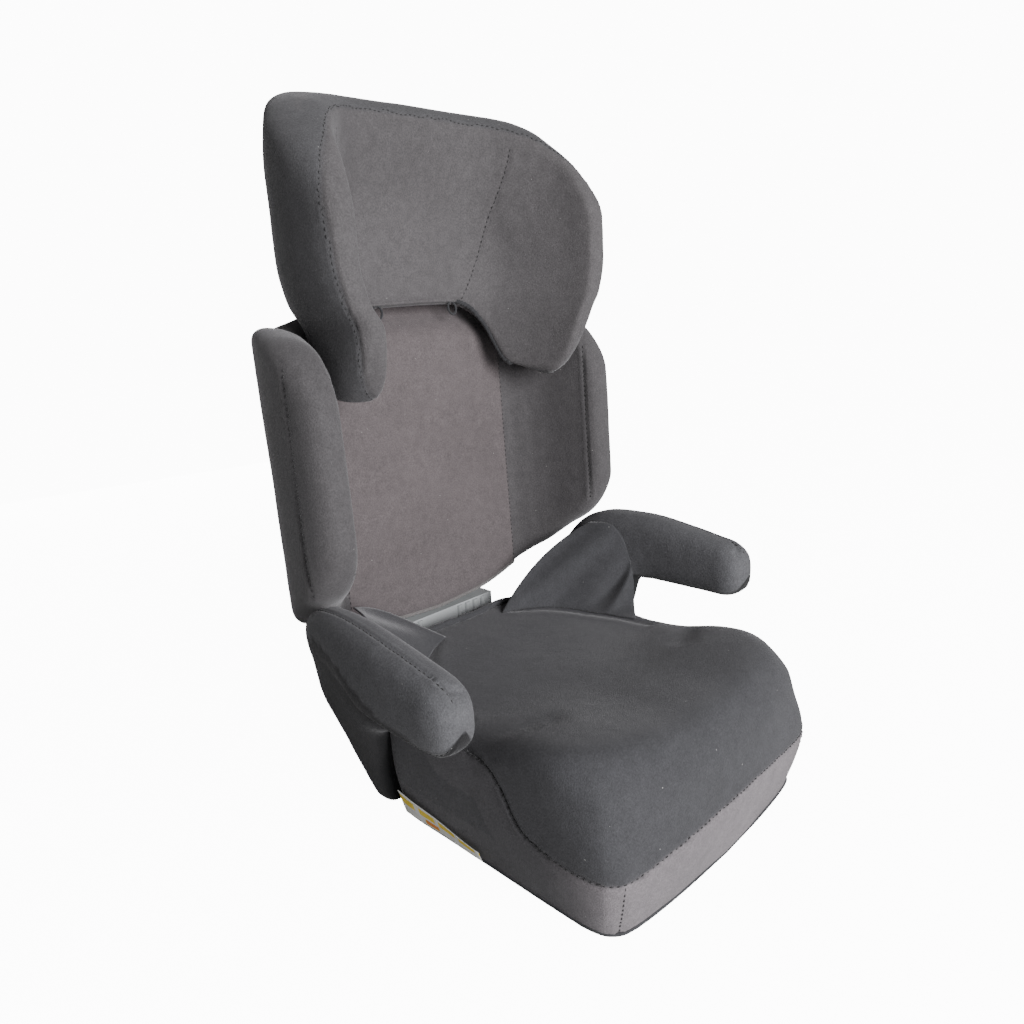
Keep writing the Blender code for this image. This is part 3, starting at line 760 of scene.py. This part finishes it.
def back_pad():
    """Cover and padding of the backrest, middle and wings in one."""
    plate = Plate(BACK_ROWS, finish_back, (5.3, 0.034))
    wrap = lambda station, share: ease(1.9, 2.5, station)
    pad = pillow("back_pad", plate, wrap, 0.018, 2.4, 0.0070, BACK, "backrest")
    middle_seams = both_sides(plate.line([2.0, 2.0], [0.02, 0.98]))
    inner_seams = both_sides(plate.line([6.15, 6.15], [0.03, 0.97]))
    outer_seams = both_sides(plate.line([5.95, 6.05], [0.03, 0.97], rear=True))
    seams = middle_seams + inner_seams + outer_seams
    held = seam_weights(pad, seams, 0.030, 0.25)
    inflate(pad, np.maximum(held, ease(0.1, 0.5, read_attribute(pad, "behind"))), 0.0035)
    subdivide(pad)
    unevenness(pad, 0.0008, 0.0002, 3.0)
    behind, place = read_attribute(pad, "behind"), read_attribute(pad, "place")
    # The wings and the rear get BACK's second colour: partly the cooler tone of their cloth, partly
    # painted shade that darkens them.
    paint(pad, np.maximum(ease(0.3, 0.7, behind), ease(1.97, 2.05, place)))
    sewn = [sew(pad, path, 0.0016, 0.0018) for path in middle_seams]
    sewn += [sew(pad, path, 0.0020, 0.0018) for path in inner_seams]
    sewn += [sew(pad, path, 0.0020, 0.0018, 0.0030) for path in outer_seams]
    threads = add_stitching("back_stitching", sewn, "backrest")
    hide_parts("back_foam", "back_cover", "wing_foam_left", "wing_foam_right",
                "wing_cover_left", "wing_cover_right", "wing_side_cover_left",
                "wing_side_cover_right")
    return pad


def back_hem(pad):
    """Bound lower edge of the back cover, with its zig-zag stitch."""
    path = [(0.135, 0.183, 0.1735), (0.105, 0.184, 0.1640), (0.070, 0.185, 0.1565),
            (0.030, 0.185, 0.1525), (0.0, 0.185, 0.1515)]
    path = path[:-1] + [(-x, y, z) for x, y, z in path[::-1]]
    path, _ = lay_on(pad, spline(path, 0.004))
    binding = gathered("back_hem_binding", path, 0.0026, BINDING, "backrest", 0.0065, 0.08)
    line = spline(path + np.array([0.0, -0.0024, 0.0006]), 0.0016)
    zigzag = line + np.array([[0.0, 0.0, 0.0011 if i % 2 else -0.0011] for i in range(len(line))])
    zigzag = tube("back_hem_zigzag", zigzag, 0.00035, PALE_THREAD, "backrest", 5)


# ---- headrest

# Seam between the headrest's front panels and its outer band, from the top centre to the tip
RIM_SEAM = [(0.000, 0.158, 0.7035), (0.060, 0.156, 0.7030), (0.095, 0.146, 0.6990),
            (0.120, 0.122, 0.6930), (0.142, 0.100, 0.6830), (0.159, 0.088, 0.6650),
            (0.173, 0.080, 0.6380), (0.180, 0.072, 0.6020), (0.180, 0.067, 0.5600),
            (0.174, 0.067, 0.5200), (0.163, 0.072, 0.4880), (0.155, 0.080, 0.4620),
            (0.146, 0.088, 0.4380), (0.126, 0.100, 0.4220)]


def headrest_pad():
    """Cover and padding of the headrest, middle and wings in one."""
    plate = Plate(HEAD_ROWS, finish_head, (4.6, 0.036))
    wrap = lambda station, share: np.maximum(ease(1.9, 2.5, station), ease(0.80, 0.92, share))
    pad = pillow("headrest_pad", plate, wrap, 0.018, 2.4, 0.0070, HEAD, "headrest")
    rim = spline(mirrored(RIM_SEAM[:0:-1], -1) + RIM_SEAM, SEAM_PITCH)
    centre_seams = both_sides(plate.line([1.15, 2.75], [0.03, 0.90]))
    held = seam_weights(pad, [rim] + centre_seams, 0.032, 0.25)
    inflate(pad, np.maximum(held, ease(0.1, 0.5, read_attribute(pad, "behind"))), 0.0040)
    subdivide(pad)
    unevenness(pad, 0.0008, 0.0002, 8.0)
    line, normals = settle(pad, rim)
    signed, plain = crossing(get_points(pad), line, normals)
    behind = read_attribute(pad, "behind")
    # Painted shade: the band and sides outside the rim seam, and the rear, get HEAD's darker second
    # colour.
    painted_shade = np.where(plain < 0.024, 1.0 - ease(-0.0015, 0.0015, signed), ease(0.4, 0.6, behind))
    paint(pad, painted_shade)
    sewn = [sew(pad, rim, 0.0016, 0.0017, -0.0022)]
    sewn += [sew(pad, path, 0.0015, 0.0016) for path in centre_seams]
    threads = add_stitching("headrest_stitching", sewn, "headrest")
    names = [f"{part}_{word}" for part in ("head_foam", "head_cover") for word in
             ("left", "middle", "right")]
    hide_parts(*names, "head_side_cover_left", "head_side_cover_right")
    return pad


def headrest_trim(pad):
    """Gathered lower hem, middle hem and the two small fixing loops."""
    for side, word in SIDES:
        path = mirrored([(0.060, 0.189, 0.5160), (0.080, 0.185, 0.5080), (0.096, 0.172, 0.4860),
                         (0.104, 0.160, 0.4580), (0.106, 0.148, 0.4360)], side)
        path, _ = lay_on(pad, spline(path, 0.004))
        hem = gathered(f"headrest_gathered_hem_{word}", path, 0.0030, DARK, "headrest", 0.0050)
    path, _ = lay_on(pad, spline([(x, 0.188, 0.5165) for x in np.linspace(-0.062, 0.062, 9)], 0.004))
    hem = gathered("headrest_hem", path, 0.0018, HEAD, "headrest", 0.0070, 0.08)
    for x in (-0.051, 0.055):
        turn = np.linspace(0.0, 2.0 * math.pi, 25)[:-1]
        ring = np.stack([x + 0.0058 * np.cos(turn), 0.1905 + 0.0012 * np.sin(turn),
                         0.5095 + 0.0070 * np.sin(turn)], axis=1)
        loop = tube(f"headrest_loop_{'left' if x < 0 else 'right'}", ring, 0.0014, DARK,
                    "headrest", 8, closed=True)


# ---- seat cushion

def base_outline(level, z):
    """Right half of the base outline at one height, from the front centre to the rear."""
    half, rear_half, front, rear, bow = level
    soft = float(ease(0.05, 0.14, z))
    return [
        (0.0, front - bow, 0.0), (0.45 * half, front - 0.75 * bow, 0.0),
        ((0.80 - 0.06 * soft) * half, front - 0.20 * bow + 0.002 * soft, 0.0),
        ((0.935 - 0.035 * soft) * half, front + 0.006 + 0.008 * soft, 0.0),
        ((0.99 - 0.012 * soft) * half, front + 0.024 + 0.014 * soft, 0.0),
        (half, front + 0.060 + 0.024 * soft, 0.0), (half, -0.06, 0.0),
        (half, 0.0, 0.0), (half, 0.060, 0.0), (half - 0.006, 0.078, 0.0),
        (rear_half + 0.006, 0.092, 0.0), (rear_half, 0.108, 0.0), (rear_half, rear - 0.018, 0.0),
        (rear_half - 0.012, rear, 0.0), (0.4 * rear_half, rear + 0.001, 0.0),
        (0.0, rear + 0.001, 0.0),
    ]


def outline_at(z):
    return spline(base_outline(smooth(SEAT_WALL, z), z), 0.002)[:, :2]


SEAT_CENTRE = (0.0, -0.03)
LEVELS = np.linspace(0.004, 0.160, 27)
DIRECTIONS = np.linspace(0.0, math.pi, 361)


def radii_table():
    """Distance from the seat centre to the outline, for each level and direction."""
    rows = []
    for z in LEVELS:
        line = outline_at(z)
        dx, dy = line[:, 0] - SEAT_CENTRE[0], line[:, 1] - SEAT_CENTRE[1]
        rows.append(np.interp(DIRECTIONS, np.arctan2(dx, -dy), np.hypot(dx, dy)))
    return np.array(rows)


RADII = radii_table()


def outline_radii(z, angles):
    """Distance to the outline at each height and in each direction (0 is straight ahead)."""
    z, angles = np.broadcast_arrays(np.asarray(z, float), np.abs(angles))
    u = np.clip((z - LEVELS[0]) / (LEVELS[1] - LEVELS[0]), 0.0, len(LEVELS) - 1.001)
    v = np.clip(angles / DIRECTIONS[1], 0.0, len(DIRECTIONS) - 1.001)
    i, j = u.astype(int), v.astype(int)
    a, b = u - i, v - j
    low = RADII[i, j] * (1.0 - b) + RADII[i, j + 1] * b
    high = RADII[i + 1, j] * (1.0 - b) + RADII[i + 1, j + 1] * b
    return low * (1.0 - a) + high * a


def seat_top(x, y):
    """Height of the seat's top surface: a shallow hollow between raised sides."""
    middle, side = smooth(SEAT_TOP, y).T
    return middle + (side - middle) * ease(0.02, 0.15, np.abs(x))


# Lower edge of the seat's top panel, from the side round the corner to the front centre
PANEL_SEAM = [(0.171, -0.020, 0.1340), (0.172, -0.047, 0.1300), (0.172, -0.073, 0.1250),
              (0.172, -0.089, 0.1100), (0.172, -0.100, 0.0910), (0.171, -0.113, 0.0760),
              (0.171, -0.142, 0.0680), (0.169, -0.172, 0.0660), (0.160, -0.195, 0.0655),
              (0.145, -0.204, 0.0650), (0.110, -0.212, 0.0690), (0.060, -0.220, 0.0735),
              (0.000, -0.222, 0.0750)]
CORNER_SEAM = [(0.150, -0.200, 0.0640), (0.149, -0.199, 0.0340), (0.147, -0.196, 0.0060)]


def seat_mesh():
    """Top as a warped grid, with side walls down to the floor."""
    line = 2.0 * edge_spaced(1.0, 0.10, 5, 1.0 / 50) - 1.0
    count = len(line)
    u, v = np.meshgrid(line, line, indexing="ij")
    disc_x = u * np.sqrt(1.0 - 0.5 * v * v)
    disc_y = v * np.sqrt(1.0 - 0.5 * u * u)
    rho = np.clip(np.hypot(disc_x, disc_y), 0.0, 1.0)
    angle = np.arctan2(disc_x, -disc_y)
    radii = outline_radii(0.150, angle)
    x = SEAT_CENTRE[0] + rho * radii * np.sin(angle)
    y = SEAT_CENTRE[1] - rho * radii * np.cos(angle)
    right = outline_at(0.150)
    rim = [(px * sign, py, 0.0) for sign in (1.0, -1.0) for px, py in right]
    flat = np.stack([x, y, 0.0 * x], axis=-1).reshape(-1, 3)
    distance = nearest(rim, flat)[1].reshape(x.shape)
    edge = smooth(SEAT_EDGE, y)[..., 0]
    top = seat_top(x.ravel(), y.ravel()).reshape(y.shape)
    z = top - edge * (1.0 - round_edge(distance, edge, 2.1))
    spread = 1.0 + (outline_radii(z, angle) / radii - 1.0) * rho ** 8
    x = SEAT_CENTRE[0] + (x - SEAT_CENTRE[0]) * spread
    y = SEAT_CENTRE[1] + (y - SEAT_CENTRE[1]) * spread
    verts = list(np.stack([x, y, z], axis=-1).reshape(-1, 3))
    faces = grid_faces(count, count)
    ring = ([(i, 0) for i in range(count - 1)] + [(count - 1, j) for j in range(count - 1)]
            + [(i, count - 1) for i in range(count - 1, 0, -1)]
            + [(0, j) for j in range(count - 1, 0, -1)])
    above = [i * count + j for i, j in ring]
    ring_angles = np.array([angle[i, j] for i, j in ring])
    ring_tops = np.array([z[i, j] for i, j in ring])
    floor = SEAT_WALL[0][0]
    steps = 18
    for step in range(1, steps + 1):
        here = ring_tops + (floor - ring_tops) * step / steps
        below = []
        for a, h, r in zip(ring_angles, here, outline_radii(here, ring_angles)):
            below.append(len(verts))
            verts.append((SEAT_CENTRE[0] + r * math.sin(a), SEAT_CENTRE[1] - r * math.cos(a), h))
        for k in range(len(ring)):
            n = (k + 1) % len(ring)
            faces.append((above[k], above[n], below[n], below[k]))
        above = below
    item = add_piece("seat_cushion", verts, faces, SEAT, "base")
    for _ in range(14):
        relax(item, lambda p: ease(0.075, 0.11, np.abs(p[:, 0])) * ease(-0.13, -0.17, p[:, 1])
              * ease(0.085, 0.11, p[:, 2]))
    return item


def seat_cushion():
    """Seat cover over its padding: crowned top, rounded edges and side panels."""
    pad = seat_mesh()
    panel = spline(mirrored(PANEL_SEAM[:-1], -1) + PANEL_SEAM[::-1], SEAM_PITCH)
    corners = both_sides(CORNER_SEAM)
    points = get_points(pad)
    held = np.maximum(seam_weights(pad, [panel] + corners, 0.030, 0.25),
                      1.0 - ease(0.02, 0.05, points[:, 2]))
    held = np.maximum(held, ease(0.09, 0.12, points[:, 1]))
    inflate(pad, held, 0.0045, 3.0)
    subdivide(pad)
    unevenness(pad, 0.0009, 0.0002, 14.0)
    line, normals = settle(pad, panel)
    points = get_points(pad)
    signed, plain = crossing(points, line, normals)
    # Painted light: the panel below the seam gets SEAT's lighter second colour, fully on the front
    # wall where the key light falls and faintly along the sides.
    painted_light = np.where(plain < 0.045, ease(-0.0015, 0.0015, signed), points[:, 2] < 0.05)
    paint(pad, painted_light * (0.15 + 0.85 * ease(-0.120, -0.200, points[:, 1])))
    sewn = [sew(pad, panel, 0.0022, 0.0020)]
    sewn += [sew(pad, path, 0.0018, 0.0018) for path in corners]
    for side in (-1, 1):
        crease(pad, mirrored([(0.060, 0.128, 0.146), (0.100, 0.088, 0.146),
                              (0.136, 0.020, 0.143), (0.146, -0.020, 0.140)], side), 0.006, 0.0022)
        crease(pad, mirrored([(0.165, -0.050, 0.132), (0.140, -0.075, 0.142),
                              (0.110, -0.090, 0.142)], side), 0.014, 0.0016)
    threads = add_stitching("seat_stitching", sewn, "base")
    thicken(pad, 0.0018)
    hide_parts("seat_cover", "seat_foam")


def seat_trim():
    """Lower hem round the front and sides, and the rolled hem at the rear of the seat."""
    front = outline_at(0.005)
    half = [(x, y, 0.0062) for x, y in front[::6] if y < 0.080]
    path = [(-x, y, z) for x, y, z in half[::-1]] + half[1:]
    hem = gathered("seat_lower_hem", path, 0.0018, SEAT, "base", 0.0120, 0.06)
    rolled = [(-0.095, 0.146, 0.1475), (-0.060, 0.151, 0.1500), (-0.020, 0.150, 0.1505),
              (0.020, 0.147, 0.1500), (0.060, 0.150, 0.1500), (0.095, 0.144, 0.1480)]
    roll = gathered("seat_rear_roll", rolled, 0.0040, SEAT, "base", 0.0210, 0.15)


# ---- armrests

def arm_point(station, side, angle, size=1.0):
    """Point on the armrest's rounded section; angle 0 is outward and 90 degrees is up."""
    x, y, z, half_x, across_y, across_z, half = smooth(ARM_ROWS, np.array(station))
    centre, wide = Vector((side * x, y, z)), Vector((side * half_x, 0.0, 0.0))
    deep = Vector((0.0, across_y, across_z)).normalized() * float(half)
    cos, sin = math.cos(angle), math.sin(angle)
    power = 2.9      # 2 would be an ellipse, and more is squarer
    square = (abs(cos) ** power + abs(sin) ** power) ** (-1.0 / power)
    return centre + float(size * square) * (cos * wide + sin * deep)


def tip_size(station):
    """Share of the full section: less than 1 only where the tip rounds off."""
    return max(float(round_edge(10.0 - station, 0.6, 2.4)), 0.02) if station > 9.4 else 1.0


def armrest(word, side):
    """Padded armrest that sweeps up from the floor at the rear and ends in a blunt tip."""
    stations = list(np.linspace(0.0, 9.4, 60)) + list(9.4 + 0.6 * edge_spaced(2.0, 1.0, 9, 1.0)[:10])
    around = 40
    verts, painted_shade = [], []
    for station in stations:
        size = tip_size(station)
        for k in range(around):
            angle = 2.0 * math.pi * k / around
            verts.append(arm_point(station, side, angle, size))
            # Painted shade: where the section turns outward and down away from the light, and on its
            # underside, ARM's near-black second colour is painted.
            limit = np.interp(station, (0.0, 4.0, 6.0, 8.0, 10.0), (0.85, 0.80, 0.25, -0.45, -0.7))
            shaded = math.sin(angle) < limit and math.cos(angle) > -0.2
            painted_shade.append(1.0 if shaded or math.sin(angle) < -0.75 else 0.0)
    pad = add_piece("armrest_pad_" + word, verts, ring_faces(len(stations), around), ARM, "base")
    seam_angle, under_angle = math.radians(80.0), math.radians(-50.0)
    places = np.concatenate([np.linspace(2.2, 9.4, 46), np.linspace(9.45, 9.9, 6)])
    top = [tuple(arm_point(p, side, seam_angle, tip_size(p))) for p in places]
    under = [tuple(arm_point(p, side, under_angle, tip_size(p))) for p in places[12:]]
    points = get_points(pad)
    held = np.maximum(seam_weights(pad, [top, under], 0.020, 0.3),
                      1.0 - ease(0.10, 0.16, points[:, 2]))
    inflate(pad, held, 0.0025, 3.0)
    paint(pad, painted_shade)
    subdivide(pad)
    unevenness(pad, 0.0008, 0.0003, 21.0 + side)
    sewn = [sew(pad, top, 0.0017, 0.0017), sew(pad, under, 0.0014, 0.0016)]
    threads = add_stitching("armrest_stitching_" + word, sewn, "base")
    crease(pad, [tuple(arm_point(p, side, math.radians(a), 0.96)) for p, a in
                 ((9.60, 82.0), (9.78, 95.0), (9.84, 120.0))], 0.0026, 0.0030)
    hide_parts("armrest_cover_" + word, "armrest_foam_" + word, "armrest_frame_" + word)


# ---- gussets

def gusset(word, side):
    """Taut side panel of cloth between the seat and the armrest."""
    foot = spline(mirrored([(0.146, 0.000, 0.139), (0.128, 0.040, 0.142), (0.106, 0.086, 0.145),
                            (0.078, 0.110, 0.147), (0.045, 0.126, 0.148)], side), 0.004)
    head = spline(mirrored([(0.183, 0.030, 0.168), (0.188, 0.040, 0.196), (0.189, 0.052, 0.222),
                            (0.187, 0.070, 0.236), (0.181, 0.096, 0.236)], side), 0.004)
    across, up = 56, 40
    verts = []
    for i in range(across + 1):
        t = i / across
        low = read_along(foot, np.linspace(0, 1, len(foot)), t)
        high = read_along(head, np.linspace(0, 1, len(head)), t)
        for j in range(up + 1):
            s = j / up
            sag = 4.0 * s * (1.0 - s)
            fold = 0.0085 * math.exp(-((t - 0.22 + 0.08 * s) / 0.05) ** 2)
            fold -= 0.0060 * math.exp(-((t - 0.34 + 0.10 * s) / 0.06) ** 2)
            fold += 0.0028 * math.sin(17.0 * t + 3.0 * s) * ease(0.35, 0.7, t)
            slack = np.array([side * 0.004, 0.004, -0.008]) * (1.0 - t) ** 2
            taut = np.array([0.0, 0.012, 0.007]) * t ** 3
            verts.append(low + (high - low) * s + sag * (slack + taut)
                         + sag * fold * np.array([-side * 0.75, -0.55, 0.35]))
    faces = grid_faces(across + 1, up + 1)
    sheet = add_piece("side_gusset_panel_" + word, verts, faces, SEAT, "base")
    thicken(sheet, 0.0014)
    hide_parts("side_gusset_" + word)


# ---- label

def side_label():
    """Blank care label on the left side: white cloth with a yellow and an orange band."""
    made, tree, shader = new_material("label_cloth", (0.80, 0.80, 0.77), 0.6)
    ramp = tree.nodes.new("ShaderNodeValToRGB")
    ramp.color_ramp.interpolation = "CONSTANT"
    ramp.color_ramp.elements[0].color = (0.80, 0.80, 0.77, 1.0)
    ramp.color_ramp.elements[1].position = 0.4
    ramp.color_ramp.elements[1].color = (0.85, 0.62, 0.03, 1.0)
    orange = ramp.color_ramp.elements.new(0.8)
    orange.color = (0.80, 0.24, 0.03, 1.0)
    feed(tree, ramp, {"Fac": painted_light_and_print_node(tree)})
    weave = noise_node(tree, object_coords(tree), 900.0)
    tone = spread(tree, weave, 0.88, 1.06)
    feed(tree, shader, {"Base Color": shaded(tree, ramp.outputs[0], tone)})
    add_bump(tree, shader, weave, 0.3, 0.0002)
    length, low, tall, short = 0.114, 0.0095, 0.0305, 0.0125
    along, up = 70, 20
    verts, painted_light_and_print = [], []
    for i in range(along + 1):
        t = i / along
        y = 0.068 - length * t
        height = tall + (short - tall) * t
        for j in range(up + 1):
            s = j / up
            z = low + height * s
            wall = float(smooth(SEAT_WALL, z)[0])
            curl = 0.0012 * ease(0.8, 1.0, s) + 0.0006 * math.sin(9.0 * t)
            verts.append((-wall - 0.0032 - curl, y, z))
            band = 0.6 if 0.45 < s < 0.82 and t % 0.25 < 0.20 else 0.0
            painted_light_and_print.append(1.0 if 0.30 < t < 0.48 and 0.10 < s < 0.40 else band)
    sheet = add_piece("care_label", verts, grid_faces(along + 1, up + 1), made, "base")
    paint(sheet, painted_light_and_print)
    thicken(sheet, 0.0004)
    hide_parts("side_label")


# ---- rigid pieces

def dress_frame():
    """Give the CAD pieces that stay in view their finish."""
    plastics = ["base_shell", "head_shell", "head_carriage", "release_handle",
                "belt_guide_left", "belt_guide_right"]
    metals = ["hinge_pin", "handle_spring", "lock_yoke", "carriage_screw_left",
              "carriage_screw_right"]
    for names, material in ((plastics, BLACK_PLASTIC), (["back_shell"], GREY_PLASTIC),
                            (metals, STEEL)):
        for name in names:
            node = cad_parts[name]
            for slot in node.material_slots:
                slot.material = material


# ---- stage

SEEN_WHITE = 12.0    # strength of the white that the camera sees behind and below the seat
ROOM_LIGHT = 0.15


def stage():
    """Pale floor, soft studio light and the camera."""
    bpy.ops.mesh.primitive_plane_add(size=12.0, location=(0.0, 0.0, 0.0))
    floor = bpy.context.object
    floor.name = "studio_floor"
    pale, tree, shader = new_material("pale_floor", (0.55, 0.55, 0.55), 0.9)
    rays = tree.nodes.new("ShaderNodeLightPath").outputs["Is Camera Ray"]
    feed(tree, shader, {"Emission Color": (1.0, 1.0, 1.0),
                        "Emission Strength": math_node(tree, "MULTIPLY", rays, SEEN_WHITE)})
    floor.data.materials.append(pale)
    world = bpy.data.worlds.new("studio")
    SCENE.world = world
    world.use_nodes = True
    tree = world.node_tree
    rays = tree.nodes.new("ShaderNodeLightPath").outputs["Is Camera Ray"]
    strength = math_node(tree, "MULTIPLY_ADD", rays, SEEN_WHITE - ROOM_LIGHT, ROOM_LIGHT)
    feed(tree, tree.nodes["Background"], {"Color": (1.0, 1.0, 1.0), "Strength": strength})
    target = Vector((0.0, 0.0, 0.3))
    for name, place, size, power in (("key", (-0.25, -1.9, 0.80), 1.0, 84.0),
                                     ("top", (0.2, 0.0, 2.4), 1.6, 2.5),
                                     ("rear", (0.4, 2.1, 0.35), 1.4, 22.0)):
        data = bpy.data.lights.new(name, "AREA")
        data.shape = "SQUARE"
        data.size = size
        data.energy = power
        lamp = bpy.data.objects.new(name, data)
        lamp.location = place
        lamp.rotation_euler = (target - Vector(place)).to_track_quat("-Z", "Y").to_euler()
        SCENE.collection.objects.link(lamp)
    data = bpy.data.cameras.new("camera")
    data.lens = 28.0
    data.sensor_width = 36.0
    camera = bpy.data.objects.new("camera", data)
    SCENE.collection.objects.link(camera)
    right = Vector((0.70208, -0.71014, -0.05281))
    up = Vector((0.22213, 0.14794, 0.96373))
    back = right.cross(up)
    turn = Matrix((right, up, back)).transposed().to_4x4()
    camera.matrix_world = Matrix.Translation((-0.5758, -0.5324, 0.5193)) @ turn
    SCENE.camera = camera


stage()
dress_frame()
back_hem(back_pad())
headrest_trim(headrest_pad())
seat_cushion()
seat_trim()
for side, word in SIDES:
    armrest(word, side)
    gusset(word, side)
side_label()
